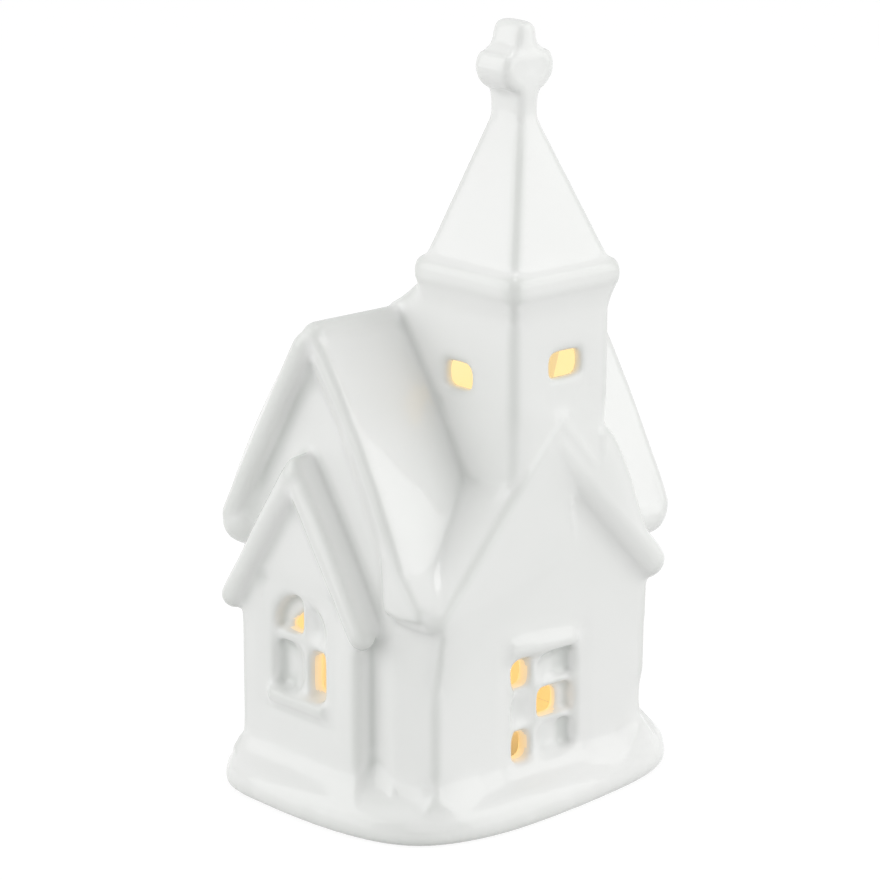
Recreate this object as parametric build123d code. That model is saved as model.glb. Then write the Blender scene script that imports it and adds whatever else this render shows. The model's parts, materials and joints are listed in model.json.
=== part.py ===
from build123d import *
import math
import os

os.makedirs("parts", exist_ok=True)

# Lit ceramic village house in the shape of a small church with a steeple.
# Millimetres, +Z up, floor at Z 0, facade towards -Y, porch towards -X.

# Casting: wall, floor, foot ring and plinth
wall_thickness = 3.2
plinth_height = 8.0
plinth_top_round = 5.8
plinth_foot_round = 1.5
foot_depth = 1.6
foot_width = 6.0
floor_thickness = 3.5
skirt_height = 4.0
skirt_reach = 3.2
skirt_inset = 1.9
bank_radius = 11.0
bank_top_radius = 1.8
bank_height = 13.2
bank_shift_x = -2.0
bank_shift_y = 4.0

# Tower, cornice, spire and cross
tower_x = 1.0
tower_y = -18.75
tower_half = 14.5
cornice_reach = 2.0
cornice_low_z = 118.4
cornice_height = 6.0
cornice_round = 2.0
cove_height = 4.0
cove_inset = 0.7
saddle_reach = 11.3
saddle_rise = 1.6
saddle_hollow = 1.15
shoulder_reach = 13.4
shoulder_drop = 5.4
spire_reach = 0.3
spire_height = 31.1
spire_hollow_height = 18.6
neck_half_x = 2.7
neck_half_y = 5.0
neck_height = 11.3
cross_lean_x = -0.6
cross_lean_y = 0.6
cross_depth = 9.9
lobe_radius = 4.75
lobe_spread = 2.35
arm_width = 6.0
arm_height = 10.2
arm_round = 2.0
corner_round = 1.5
neck_round = 1.0

# Front gable, ridge along Y
front_wall_y = -30.5
front_verge_reach = 3.7
front_left_x = -33.6
front_right_x = 30.2
front_ridge_x = 0.7
front_ridge_z = 91.4
front_eave_reach = 2.6
front_tip_left_z = 50.9
front_tip_right_z = 52.4
front_roof = 5.4
front_bulge = 0.5
front_lean = 1.5
valley_reach = 5.0
valley_edge = 2.6
valley_length = 9.6
valley_lap = 6.0

# Main nave, ridge along X
nave_left_x = -36.4
nave_right_x = 39.0
nave_verge_left = 2.7
nave_verge_right = 4.4
nave_ridge_y = 5.1
nave_ridge_z = 111.6
nave_half_wall = 25.2
nave_eave_reach = 5.8
nave_tip_front_z = 58.6
nave_tip_back_z = 60.9
nave_roof = 6.4
nave_bulge = 2.2
nave_eave_gain = 0.45

# Side porch, ridge along X
porch_wall_x = -41.2
porch_verge_reach = 1.7
porch_ridge_y = 6.9
porch_ridge_z = 82.2
porch_half_wall = 19.8
porch_eave_reach = 4.0
porch_tip_z = 45.8
porch_roof = 5.0
porch_bulge = 0.6

# Eave and verge edges, and the lap of a wall into the roof above it
tip_round = 1.8
verge_edge = 2.2
roof_lap = 1.5

# Windows
recess_depth = 3.2
frame_depth = 0.9
pane_back = 2.6
window_margin = 3.6
bar_width = 2.6
pierce_inset = 1.2
pierce_side = 3.0
sill_height = 3.1
sill_reach = 1.5
sill_over = 0.9
door_left_x = -10.0
door_right_x = 8.6
door_low_z = 12.0
door_high_z = 36.2
door_split_x = -2.9
door_rows = 3
door_rail = 1.6
lintel_radius = 2.3
lintel_over = 1.5
lintel_shift = -1.0
lintel_tilt = 5.0
arch_half = 8.8
arch_low_z = 26.0
arch_spring_z = 40.4
arch_rail_z = 38.5
arch_split = -1.6
pane_inset = 0.2
porch_window_y = 7.0
tower_side_hole_width = 8.2
tower_front_hole_width = 9.3
tower_hole_height = 5.6
tower_side_hole_z = 96.5
tower_front_hole_z = 99.9
tower_side_hole_shift = 3.8
tower_front_hole_shift = 1.3

# Light unit: housing, flange, bottom plate and gripping ring
housing_wall = 1.5
housing_round = 0.9
housing_room = 5.0
ring_thickness = 2.0
ring_rise = 1.3
ring_round = 0.6
slide_clearance = 0.06
grip_clearance = 0.04
flange_lip = 2.5
flange_thickness = 1.15
seat_clearance = 0.1
plate_clearance = 0.15
plate_thickness = 1.6
plate_edge = 0.45

# Coin cell, battery well, twist-lock cap and contact strips
cell_x = -3.2
cell_diameter = 20.0
cell_height = 3.2
cell_step_height = 0.45
cell_step_inset = 1.4
cell_round = 0.35
cell_clearance = 0.3
well_wall = 1.3
well_rise = 1.7
cap_lip = 1.1
cap_clearance = 0.08
cap_thickness = 1.5
rim_width = 2.3
rim_cover = 0.8
lug_inset = 0.65
lug_reach = 1.2
lug_height = 0.8
lug_angle = 28.0
lug_starts = (20.0, 200.0)
lug_clearance = 0.1
lug_end_angle = 0.9
twist_angle = 40.0
coin_slot_length = 13.0
coin_slot_width = 1.9
coin_slot_depth = 0.85
strip_width = 2.8
strip_thickness = 0.35
strip_clearance = 0.2
strip_step = 1.25
strip_rise = 0.6
tab_width = 1.2
tab_clearance = 0.1
touch_gap = 0.05

# Slide switch
switch_gap = 0.75
switch_length = 8.6
switch_width = 3.6
switch_height = 3.4
switch_sheet = 0.4
switch_cover = 0.9
slider_travel = 2.0
slider_length = 2.6
slider_width = 1.5
slider_clearance = 0.2
slider_recess = 0.3
shoe_over_x = 0.55
shoe_over_y = 0.6
shoe_height = 1.0
grip_step = 0.8
grip_width = 0.3
grip_depth = 0.25
wiper_width = 0.6
wiper_length = 3.4
wiper_height = 0.3
pin_inset = 1.0
pin_pitch = 2.5
pin_width = 0.5

# Circuit board, lamp, resistor and screws
board_gap = 1.3
board_thickness = 1.0
board_inset = 1.9
lamp_gap = 0.3
lamp_radius = 2.5
lamp_rim = 0.4
lamp_rim_height = 1.0
lamp_length = 8.6
lamp_clearance = 0.3
lead_radius = 0.25
lead_pitch = 2.54
lead_depth = 2.0
solder_length = 0.5
resistor_x = 6.6
resistor_y = -5.0
resistor_length = 3.2
resistor_width = 1.6
resistor_height = 0.6
screw_inset = 2.75
screw_angle = 62.0
screw_radius = 0.82
screw_head_radius = 1.95
screw_head_height = 0.8
screw_length = 6.7
screw_clearance = 0.4
thread_clearance = 0.03
driver_slot_length = 2.4
driver_slot_width = 0.5
driver_slot_depth = 0.4
boss_radius = 2.3
boss_clearance = 0.3

# How far a cutting body runs past the face it cuts, and the points drawn down a roof slope
overcut = 1.0
roof_steps = 6

# Base outline, each point set off from the walls that it runs along
nave_front_y = nave_ridge_y - nave_half_wall
nave_back_y = nave_ridge_y + nave_half_wall
porch_front_y = porch_ridge_y - porch_half_wall
base_outline = [
    (porch_wall_x - 7.0, porch_ridge_y + 4.1), (porch_wall_x - 6.1, porch_front_y + 2.0),
    (front_left_x - 5.4, front_wall_y - 0.6), (front_left_x + 10.0, front_wall_y - 7.0),
    (front_ridge_x - 4.7, front_wall_y - 7.6), (front_right_x - 12.2, front_wall_y - 5.4),
    (nave_right_x + 0.6, front_wall_y + 2.0), (nave_right_x + 8.6, nave_front_y + 3.4),
    (nave_right_x + 9.0, nave_ridge_y - 4.1), (nave_right_x + 7.6, nave_back_y - 6.3),
    (nave_right_x - 3.0, nave_back_y + 5.0), (front_ridge_x + 13.3, nave_back_y + 8.0),
    (front_ridge_x - 14.7, nave_back_y + 8.0), (nave_left_x + 0.4, nave_back_y + 5.4),
    (porch_wall_x - 4.8, nave_back_y - 3.7),
]

# Places that follow from the sizes above
floor_top_z = foot_depth + floor_thickness
wall_low_z = plinth_height / 2
cornice_high_z = cornice_low_z + cornice_height
neck_low_z = cornice_high_z + spire_height
lobe_z = neck_low_z + neck_height
cornice_half = tower_half + cornice_reach
spire_half = tower_half + spire_reach
cross_x = tower_x + cross_lean_x
cross_y = tower_y + cross_lean_y
inside_x = nave_left_x + wall_thickness
front_verge_y = front_wall_y - front_verge_reach
front_left_half = front_ridge_x - front_left_x
front_right_half = front_right_x - front_ridge_x
front_left_span = front_left_half + front_eave_reach
front_right_span = front_right_half + front_eave_reach
nave_span = nave_half_wall + nave_eave_reach
porch_span = porch_half_wall + porch_eave_reach
through_depth = recess_depth + pane_back + wall_thickness
arch_places = ((porch_wall_x, porch_window_y, -1), (nave_right_x, nave_ridge_y, 1))
cell_radius = cell_diameter / 2
well_radius = cell_radius + cell_clearance
well_outer = well_radius + well_wall
cap_radius = well_radius + cap_lip
rim_radius = cap_radius + rim_width
plate_radius = rim_radius - cell_x + plate_edge
housing_inner = plate_radius + plate_clearance
housing_radius = housing_inner + housing_wall
unit_hole_radius = housing_radius + ring_thickness
flange_radius = unit_hole_radius + flange_lip
flange_top_z = foot_depth - seat_clearance
flange_low_z = flange_top_z - flange_thickness
plate_low_z = flange_low_z + seat_clearance
plate_top_z = plate_low_z + plate_thickness
cap_top_z = plate_low_z + cap_thickness
lug_low_z = plate_low_z + lug_inset
lug_top_z = lug_low_z + lug_height
cell_low_z = cap_top_z + touch_gap
cell_top_z = cell_low_z + cell_height
well_top_z = cell_top_z + well_rise
board_low_z = well_top_z + board_gap
board_top_z = board_low_z + board_thickness
board_radius = housing_inner - board_inset
pin_top_z = board_top_z + solder_length
housing_top_z = board_top_z + housing_room
lamp_low_z = board_top_z + lamp_gap
lead_top_z = lamp_low_z + lead_depth
strip_half = strip_width / 2
strip_top_z = board_low_z - touch_gap
tab_half = tab_width / 2
plus_y = cell_radius + touch_gap
plus_tab_y = plus_y + strip_step
minus_y = -cell_radius - strip_step
switch_x = cell_x + rim_radius + switch_gap + switch_width / 2
switch_top_z = plate_top_z + switch_height
slider_y = slider_travel / 2
shoe_low_z = plate_top_z + switch_sheet + seat_clearance
shoe_top_z = shoe_low_z + shoe_height
wiper_top_z = shoe_top_z + wiper_height
pin_x = switch_x - pin_inset
pin_places = [(pin_x, step * pin_pitch) for step in (-1, 0, 1)]
lead_places = [(-lead_pitch / 2, 0.0), (lead_pitch / 2, 0.0)]


def ring_points(radius, angles):
    return [(radius * math.cos(math.radians(a)), radius * math.sin(math.radians(a))) for a in angles]


def slope_of(top_z, tip_z, span):
    return (top_z - tip_z) / span


def roof_drop(thickness, slope):
    return thickness * math.hypot(1.0, slope)


screw_places = ring_points(plate_radius - screw_inset, (screw_angle, -screw_angle))
front_left_slope = slope_of(front_ridge_z, front_tip_left_z, front_left_span)
front_right_slope = slope_of(front_ridge_z, front_tip_right_z, front_right_span)
nave_front_slope = slope_of(nave_ridge_z, nave_tip_front_z, nave_span)
nave_back_slope = slope_of(nave_ridge_z, nave_tip_back_z, nave_span)
porch_slope = slope_of(porch_ridge_z, porch_tip_z, porch_span)
tower_low_z = front_ridge_z - front_left_slope * 2 * tower_half

# Planes looking along the ridges
plane_x = Plane(origin=(0, 0, 0), x_dir=(0, 1, 0), z_dir=(1, 0, 0))
plane_y = Plane(origin=(0, 0, 0), x_dir=(1, 0, 0), z_dir=(0, -1, 0))


def block(x0, x1, y0, y1, z0, z1):
    size = Box(x1 - x0, y1 - y0, z1 - z0)
    return Pos((x0 + x1) / 2, (y0 + y1) / 2, (z0 + z1) / 2) * size


def post(x, y, radius, z0, z1):
    return Pos(x, y, (z0 + z1) / 2) * Cylinder(radius, z1 - z0)


def ring(x, y, outer, inner, z0, z1):
    return post(x, y, outer, z0, z1) - post(x, y, inner, z0 - overcut, z1 + overcut)


def outline_face(points):
    return make_face(Polyline(*points, close=True))


def at_x(face, x):
    return Pos(x, 0, 0) * (plane_x * face)


def at_y(face, y):
    return Pos(0, y, 0) * (plane_y * face)


def along_x(face, x0, x1):
    return extrude(at_x(face, x0), x1 - x0)


def along_y(face, y0, y1):
    return extrude(at_y(face, y1), y1 - y0)


def around(x, y, half):
    return (x - half, x + half, y - half, y + half)


def frustum(low_box, low_z, high_box, high_z):
    sections = []
    for (x0, x1, y0, y1), z in ((low_box, low_z), (high_box, high_z)):
        sections.append(Pos((x0 + x1) / 2, (y0 + y1) / 2, z) * Rectangle(x1 - x0, y1 - y0))
    return loft(sections, ruled=True)


# Points down one bowed slope, each set in from the surface by its depth
def slope_line(centre, ridge_z, span, tip_z, side, bulge, shares, depths):
    angle = math.atan(slope_of(ridge_z, tip_z, span))
    points = []
    for share, depth in zip(shares, depths):
        lift = bulge * 4 * share * (1 - share) - depth
        x = centre + side * (span * share + lift * math.sin(angle))
        points.append((x, ridge_z - (ridge_z - tip_z) * share + lift * math.cos(angle)))
    return points


def apex_under(centre, ridge_z, spans, tips, thickness):
    flat_slope = min(slope_of(ridge_z, tip, span) for span, tip in zip(spans, tips))
    return (centre, ridge_z - roof_drop(thickness, flat_slope))


# A gabled slab seen from its end, softly bowed, thicker at the eaves by the share called gain
def roof_face(centre, ridge_z, spans, tips, thickness, bulge, gain):
    shares = [i / roof_steps for i in range(1, roof_steps + 1)]
    outer = []
    inner = []
    for span, tip_z, side in zip(spans, tips, (-1, 1)):
        slope = (centre, ridge_z, span, tip_z, side, bulge, shares)
        outer.append(slope_line(*slope, [0.0 for share in shares]))
        under = slope_line(*slope, [thickness * (1 + gain * share) for share in shares])
        inner.append([p for p in under if (p[0] - centre) * side > 0])
    apex = apex_under(centre, ridge_z, spans, tips, thickness)
    face = outline_face([(centre, ridge_z)] + outer[1] + inner[1][::-1] + [apex] + inner[0] + outer[0][::-1])
    ends = [Vector(*p) for p in (outer[0][-1], inner[0][-1], outer[1][-1], inner[1][-1])]
    corners = [min(face.vertices(), key=lambda v: (Vector(v.X, v.Y) - end).length) for end in ends]
    return fillet(corners, tip_round)


# The space under such a slab, down past the eaves
def under_face(centre, ridge_z, spans, tips, thickness, bulge, gain):
    shares = [i / roof_steps for i in range(2, roof_steps + 1)]
    sides = []
    for span, tip_z, side in zip(spans, tips, (-1, 1)):
        depths = [thickness * (1 + gain * share) for share in shares]
        sides.append(slope_line(centre, ridge_z, span, tip_z, side, bulge, shares, depths))
    left, right = sides
    apex = apex_under(centre, ridge_z, spans, tips, thickness)
    low_z = min(tips) - 2 * nave_roof
    return outline_face([apex] + right + [(right[-1][0], low_z), (left[-1][0], low_z)] + left[::-1])


# The slope cut under a verge, from the full slab at the wall to a thin edge at the end
def verge_cut(place, roof, wall_at, end_at):
    centre, ridge_z, spans, tips, thickness, bulge, gain = roof
    at_wall = place(under_face(*roof), wall_at)
    at_end = place(under_face(centre, ridge_z, spans, tips, verge_edge, bulge, 0.0), end_at)
    return loft([at_wall, at_end], ruled=True)


# A wall block under a gabled roof
def gable_face(centre, ridge_z, left, right, left_slope, right_slope, low_z):
    left_z = ridge_z - left * left_slope
    right_z = ridge_z - right * right_slope
    return outline_face([(centre - left, low_z), (centre + right, low_z), (centre + right, right_z),
                         (centre, ridge_z), (centre - left, left_z)])


# The base outline, moved inwards by an even width
def base_face(inset):
    points = []
    for i, (x, y) in enumerate(base_outline):
        before = base_outline[i - 1]
        after = base_outline[(i + 1) % len(base_outline)]
        along = (Vector(*after) - Vector(*before)).normalized()
        points.append((x - along.Y * inset, y + along.X * inset))
    return make_face(Spline(*points, periodic=True))


# Plinth with a softened edge
def make_plinth():
    body = extrude(base_face(0.0), plinth_height)
    body = fillet(body.faces().sort_by(Axis.Z)[-1].edges(), plinth_top_round)
    return fillet(body.faces().sort_by(Axis.Z)[0].edges(), plinth_foot_round)


# The sloped foot where a wall runs out onto the plinth
def make_skirt(x0, x1, y0, y1):
    wide = (x0 - skirt_reach, x1 + skirt_reach, y0 - skirt_reach, y1 + skirt_reach)
    return frustum(wide, plinth_height - overcut, (x0, x1, y0, y1), plinth_height + skirt_height)


def make_skirts():
    body = make_skirt(nave_left_x, nave_right_x, nave_front_y, nave_back_y)
    body += make_skirt(front_left_x, front_right_x, front_wall_y, nave_ridge_y)
    body += make_skirt(porch_wall_x, inside_x, porch_front_y, porch_ridge_y + porch_half_wall)
    # The ground banks up against the right front corner
    bank = Cone(bank_radius, bank_top_radius, bank_height)
    body += Pos(front_right_x + bank_shift_x, front_wall_y + bank_shift_y, wall_low_z + bank_height / 2) * bank
    limit = extrude(base_face(skirt_inset), wall_low_z + bank_height + overcut)
    return body & limit


# The three gabled blocks and the tower, solid
def make_outside():
    body = make_plinth() + make_skirts()
    nave_wall = gable_face(nave_ridge_y, nave_ridge_z - roof_lap, nave_half_wall, nave_half_wall, nave_front_slope,
                           nave_back_slope, wall_low_z)
    body += along_x(nave_wall, nave_left_x, nave_right_x)
    nave_slab = (nave_ridge_y, nave_ridge_z, (nave_span, nave_span), (nave_tip_front_z, nave_tip_back_z), nave_roof,
                 nave_bulge, nave_eave_gain)
    nave_end_left = nave_left_x - nave_verge_left
    nave_end_right = nave_right_x + nave_verge_right
    nave_cover = along_x(roof_face(*nave_slab), nave_end_left, nave_end_right)
    nave_cover -= verge_cut(at_x, nave_slab, nave_left_x, nave_end_left)
    nave_cover -= verge_cut(at_x, nave_slab, nave_right_x, nave_end_right)
    body += nave_cover
    front_wall = gable_face(front_ridge_x, front_ridge_z - roof_lap, front_left_half, front_right_half,
                            front_left_slope, front_right_slope, wall_low_z)
    body += along_y(front_wall, front_wall_y, nave_ridge_y)
    front_slab = (front_ridge_x, front_ridge_z, (front_left_span, front_right_span),
                  (front_tip_left_z, front_tip_right_z), front_roof, front_bulge, 0.0)
    front_cover = along_y(roof_face(*front_slab), front_verge_y, nave_ridge_y - nave_half_wall / 2)
    body += front_cover - verge_cut(at_y, front_slab, front_wall_y, front_verge_y)
    # The right wall of the front gable leans out a little towards its eave
    lean = outline_face([(front_ridge_x, plinth_height), (front_right_x, plinth_height),
                         (front_right_x + front_lean, front_tip_right_z), (front_ridge_x, front_tip_right_z)])
    body += along_y(lean, front_wall_y, nave_front_y)
    # The step between the nave and the front gable is filled to one slanting face
    corner = outline_face([(nave_left_x, nave_front_y), (front_left_x, front_wall_y), (front_ridge_x, front_wall_y),
                           (front_ridge_x, nave_front_y)])
    body += Pos(0, 0, wall_low_z) * extrude(corner, front_tip_left_z + roof_lap - wall_low_z)
    porch_wall = gable_face(porch_ridge_y, porch_ridge_z - roof_lap, porch_half_wall, porch_half_wall, porch_slope,
                            porch_slope, wall_low_z)
    body += along_x(porch_wall, porch_wall_x, inside_x)
    porch_slab = (porch_ridge_y, porch_ridge_z, (porch_span, porch_span), (porch_tip_z, porch_tip_z), porch_roof,
                  porch_bulge, 0.0)
    porch_end = porch_wall_x - porch_verge_reach
    porch_cover = along_x(roof_face(*porch_slab), porch_end, inside_x)
    body += porch_cover - verge_cut(at_x, porch_slab, porch_wall_x, porch_end)
    # The tower stands on the gable wall and on the roof behind it
    below_roof = gable_face(front_ridge_x, front_ridge_z - 2 * roof_lap, front_left_span, front_right_span,
                            front_left_slope, front_right_slope, 0.0)
    tower = make_tower() - along_y(below_roof, tower_y - 2 * tower_half, front_wall_y)
    return body + make_valley() + tower


def make_tower():
    outline = RectangleRounded(2 * tower_half, 2 * tower_half, corner_round)
    tower = Pos(tower_x, tower_y, tower_low_z) * extrude(outline, cornice_high_z - tower_low_z)
    band = extrude(RectangleRounded(2 * cornice_half, 2 * cornice_half, cornice_round), cornice_height)
    band = fillet(band.edges().filter_by(Axis.Z, reverse=True), cornice_round * 0.95)
    tower += Pos(tower_x, tower_y, cornice_low_z) * band
    tower += frustum(around(tower_x, tower_y, tower_half), cornice_low_z - cove_height,
                     around(tower_x, tower_y, cornice_half - cove_inset), cornice_low_z + overcut)
    tower += make_saddle() + make_shoulder()
    foot = RectangleRounded(2 * spire_half, 2 * spire_half, corner_round)
    head = RectangleRounded(2 * neck_half_x, 2 * neck_half_y, neck_round)
    tower += loft([Pos(tower_x, tower_y, cornice_high_z - overcut) * foot,
                   Pos(cross_x, cross_y, neck_low_z) * head],
                  ruled=True)
    return tower + make_cross(head)


# The hollow curve between the tower's back and the nave ridge
def make_saddle():
    steps = 6
    back = tower_y + tower_half
    inside_y = back - wall_thickness
    rise = cornice_low_z + saddle_rise - nave_ridge_z
    deep_z = nave_ridge_z - nave_front_slope * (nave_ridge_y - inside_y) - roof_lap
    end_y = back + saddle_reach
    points = [(inside_y, deep_z), (end_y, nave_ridge_z - nave_roof), (end_y, nave_ridge_z)]
    for i in range(1, steps + 1):
        share = i / steps
        points.append((back + saddle_reach * (1 - share), nave_ridge_z + rise * share ** saddle_hollow))
    points.append((inside_y, cornice_low_z + saddle_rise))
    return along_x(outline_face(points), tower_x - tower_half, tower_x + tower_half)


# The cove where the nave's front slope runs out onto the front roof, left of the tower
def make_valley():
    back_y = nave_front_y + roof_lap
    tip_y = nave_ridge_y - nave_span
    front_y = tip_y - valley_reach
    low_z = front_tip_left_z
    sections = []
    outer_end = (nave_left_x - nave_verge_left, low_z + valley_edge)
    inner_end = (front_left_x + valley_length, nave_tip_front_z)
    for x, edge_z in (outer_end, inner_end):
        points = [(back_y, low_z), (back_y, nave_tip_front_z + valley_lap), (tip_y, nave_tip_front_z + roof_lap),
                  (front_y, edge_z), (front_y, low_z)]
        sections.append(at_x(outline_face(points), x))
    return loft(sections, ruled=True)


# The swell that runs from the tower's right side down onto the front roof
def make_shoulder():
    steps = 6
    face_x = tower_x + tower_half
    front = tower_y - tower_half
    end_x = face_x + shoulder_reach
    low_z = front_ridge_z - front_right_slope * (end_x - front_ridge_x)
    rise = front_ridge_z - shoulder_drop - low_z
    points = [(face_x - wall_thickness, low_z + rise), (face_x - wall_thickness, low_z)]
    for i in range(steps, -1, -1):
        share = i / steps
        points.append((face_x + shoulder_reach * share, low_z + rise * (1 - share ** 1.5)))
    return along_y(outline_face(points), front - overcut, tower_y)


def make_cross(neck_face):
    neck = Pos(cross_x, cross_y, neck_low_z - overcut) * extrude(neck_face, neck_height)
    shape = Pos(-lobe_spread, lobe_z) * Circle(lobe_radius)
    shape += Pos(lobe_spread, lobe_z) * Circle(lobe_radius)
    shape += Pos(0, lobe_z + arm_height / 2) * RectangleRounded(arm_width, arm_height, arm_round)
    cross = Pos(cross_x, 0, 0) * along_y(shape, cross_y - cross_depth / 2, cross_y + cross_depth / 2)
    return neck + cross


# Raised window trim
def make_trim():
    door_middle = (door_left_x + door_right_x) / 2
    lintel = Cylinder(lintel_radius, door_right_x - door_left_x + 2 * lintel_over)
    lintel_at = Pos(door_middle + lintel_shift, front_wall_y, door_high_z + lintel_radius)
    body = lintel_at * Rot(0, 90 + lintel_tilt, 0) * lintel
    half = arch_half + sill_over
    for wall_x, y, outward in arch_places:
        x0, x1 = sorted((wall_x + outward * sill_reach, wall_x - outward * overcut))
        body += block(x0, x1, y - half, y + half, arch_low_z - sill_height, arch_low_z)
    return body


# The thicker wall behind each window recess
def make_backing():
    depth = recess_depth + pane_back
    body = block(door_left_x - window_margin, door_right_x + window_margin, front_wall_y + overcut,
                 front_wall_y + depth, door_low_z - window_margin, door_high_z + window_margin)
    half = arch_half + window_margin
    for wall_x, y, outward in arch_places:
        x0, x1 = sorted((wall_x - outward * overcut, wall_x - outward * depth))
        body += block(x0, x1, y - half, y + half, arch_low_z - window_margin, arch_spring_z + half)
    return body


# The hollow left by the casting
def make_hollow():
    t = wall_thickness
    nave_top = nave_ridge_z - roof_drop(nave_roof, nave_front_slope)
    body = along_x(gable_face(nave_ridge_y, nave_top, nave_half_wall - t, nave_half_wall - t, nave_front_slope,
                              nave_back_slope, floor_top_z), inside_x, nave_right_x - t)
    front_top = front_ridge_z - roof_drop(front_roof, front_right_slope)
    body += along_y(gable_face(front_ridge_x, front_top, front_left_half - t, front_right_half - t, front_left_slope,
                               front_right_slope, floor_top_z), front_wall_y + t, nave_ridge_y)
    porch_top = porch_ridge_z - roof_drop(porch_roof, porch_slope)
    body += along_x(gable_face(porch_ridge_y, porch_top, porch_half_wall - t, porch_half_wall - t, porch_slope,
                               porch_slope, floor_top_z), porch_wall_x + t, inside_x + t)
    # Below the front ridge the shaft stays behind the facade
    shaft = around(tower_x, tower_y, tower_half - t)
    shaft_top_z = cornice_high_z - t
    body += block(shaft[0], shaft[1], front_wall_y + t, shaft[3], tower_low_z, front_ridge_z)
    body += block(*shaft, front_ridge_z - overcut, shaft_top_z)
    body += frustum(shaft, shaft_top_z, around(tower_x, tower_y, neck_half_x), cornice_high_z + spire_hollow_height)
    return body


def arch_face(half, centre):
    shape = Pos(centre, (arch_low_z + arch_spring_z) / 2) * Rectangle(2 * half, arch_spring_z - arch_low_z)
    return shape + Pos(centre, arch_spring_z) * Circle(half)


# The front window, two panes wide, every second pane pierced
def door_cuts():
    cuts = [block(door_left_x, door_right_x, front_wall_y - lintel_radius - overcut, front_wall_y + frame_depth,
                  door_low_z, door_high_z)]
    pane_height = (door_high_z - door_low_z - (door_rows - 1) * door_rail) / door_rows
    left_pane = (door_left_x, door_split_x - bar_width / 2)
    right_pane = (door_split_x + bar_width / 2, door_right_x)
    for row in range(door_rows):
        low = door_low_z + row * (pane_height + door_rail)
        for side, (x0, x1) in enumerate((left_pane, right_pane)):
            cuts.append(block(x0, x1, front_wall_y, front_wall_y + recess_depth, low, low + pane_height))
            if (row + side) % 2 == 0:
                cuts.append(block(x0, x1 - side * pierce_side, front_wall_y, front_wall_y + through_depth, low,
                                  low + pane_height - pierce_inset))
    return cuts


# An arched window, four panes: half of one upper pane and most of the lower one across from it are pierced
def arch_cuts(wall_x, centre_y, outward):
    x0, x1 = sorted((wall_x + outward * (sill_reach + overcut), wall_x - outward * frame_depth))
    cuts = [along_x(arch_face(arch_half, centre_y), x0, x1)]
    split_y = centre_y + arch_split
    rows = ((arch_rail_z + bar_width / 2, arch_spring_z + arch_half), (arch_low_z, arch_rail_z - bar_width / 2))
    columns = ((centre_y - arch_half, split_y - bar_width / 2), (split_y + bar_width / 2, centre_y + arch_half))
    for z0, z1 in rows:
        for y0, y1 in columns:
            pane = Pos((y0 + y1) / 2, (z0 + z1) / 2) * Rectangle(y1 - y0, z1 - z0)
            pane = pane & arch_face(arch_half - pane_inset, centre_y)
            x0, x1 = sorted((wall_x, wall_x - outward * recess_depth))
            cuts.append(along_x(pane, x0, x1))
    x0, x1 = sorted((wall_x, wall_x - outward * through_depth))
    (upper_z0, upper_z1), (lower_z0, lower_z1) = rows
    (near_y0, near_y1), (far_y0, far_y1) = columns
    upper = outline_face([(far_y0, upper_z0), (far_y1 - pierce_inset, upper_z0), (far_y0, upper_z1 - pierce_side)])
    cuts.append(along_x(upper, x0, x1))
    cuts.append(block(x0, x1, near_y0 + pierce_inset, near_y1, lower_z0 + pierce_inset, lower_z1 - pierce_inset))
    return cuts


# Small openings high in the tower, one to the left and one to the front
def tower_cuts():
    far = cornice_half + overcut
    side_half = tower_side_hole_width / 2
    front_half = tower_front_hole_width / 2
    side_y = tower_y + tower_side_hole_shift
    front_x = tower_x + tower_front_hole_shift
    side = block(tower_x - far, tower_x, side_y - side_half, side_y + side_half, tower_side_hole_z,
                 tower_side_hole_z + tower_hole_height)
    front = block(front_x - front_half, front_x + front_half, tower_y - far, tower_y, tower_front_hole_z,
                  tower_front_hole_z + tower_hole_height)
    return [side, front]


def make_shell():
    body = make_outside() - make_hollow()
    body += make_trim() + make_backing()
    cuts = door_cuts() + tower_cuts()
    for wall_x, y, outward in arch_places:
        cuts += arch_cuts(wall_x, y, outward)
    for cut in cuts:
        body -= cut
    # Foot ring: the middle of the underside stands clear of the table
    body -= Pos(0, 0, -overcut) * extrude(base_face(foot_width), overcut + foot_depth)
    return body - post(0, 0, unit_hole_radius, -overcut, floor_top_z + overcut)


# Soft ring that grips the hole in the floor
def make_ring():
    body = ring(0, 0, unit_hole_radius - slide_clearance, housing_radius + grip_clearance, flange_top_z,
                floor_top_z + ring_rise)
    top_edges = body.faces().sort_by(Axis.Z)[-1].edges()
    return fillet(top_edges.sort_by(SortBy.RADIUS)[-1:], ring_round)


# Upper shell of the light unit with its flange and screw bosses
def make_housing():
    body = ring(0, 0, flange_radius, housing_inner, flange_low_z, flange_top_z)
    body += ring(0, 0, housing_radius, housing_inner, flange_low_z, housing_top_z)
    body += post(0, 0, housing_radius, housing_top_z - housing_wall, housing_top_z)
    for x, y in screw_places:
        body += post(x, y, boss_radius, plate_top_z, housing_top_z - housing_wall / 2)
        body -= post(x, y, screw_radius + thread_clearance, plate_low_z, plate_low_z + screw_length + overcut)
    body -= post(0, 0, lamp_radius + lamp_clearance, board_top_z, housing_top_z + overcut)
    top_edges = body.faces().sort_by(Axis.Z)[-1].edges()
    return fillet(top_edges.sort_by(SortBy.RADIUS)[-1:], housing_round)


# A short arc of rim round the cell, for a cap lug and for the path it runs in
def rim_sector(outer, low_z, high_z, start, sweep):
    steps = 8
    angles = [start + sweep * i / steps for i in range(steps + 1)]
    points = ring_points(outer, angles) + ring_points(cap_radius - overcut, angles[::-1])
    return Pos(cell_x, 0, low_z) * extrude(outline_face(points), high_z - low_z)


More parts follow.
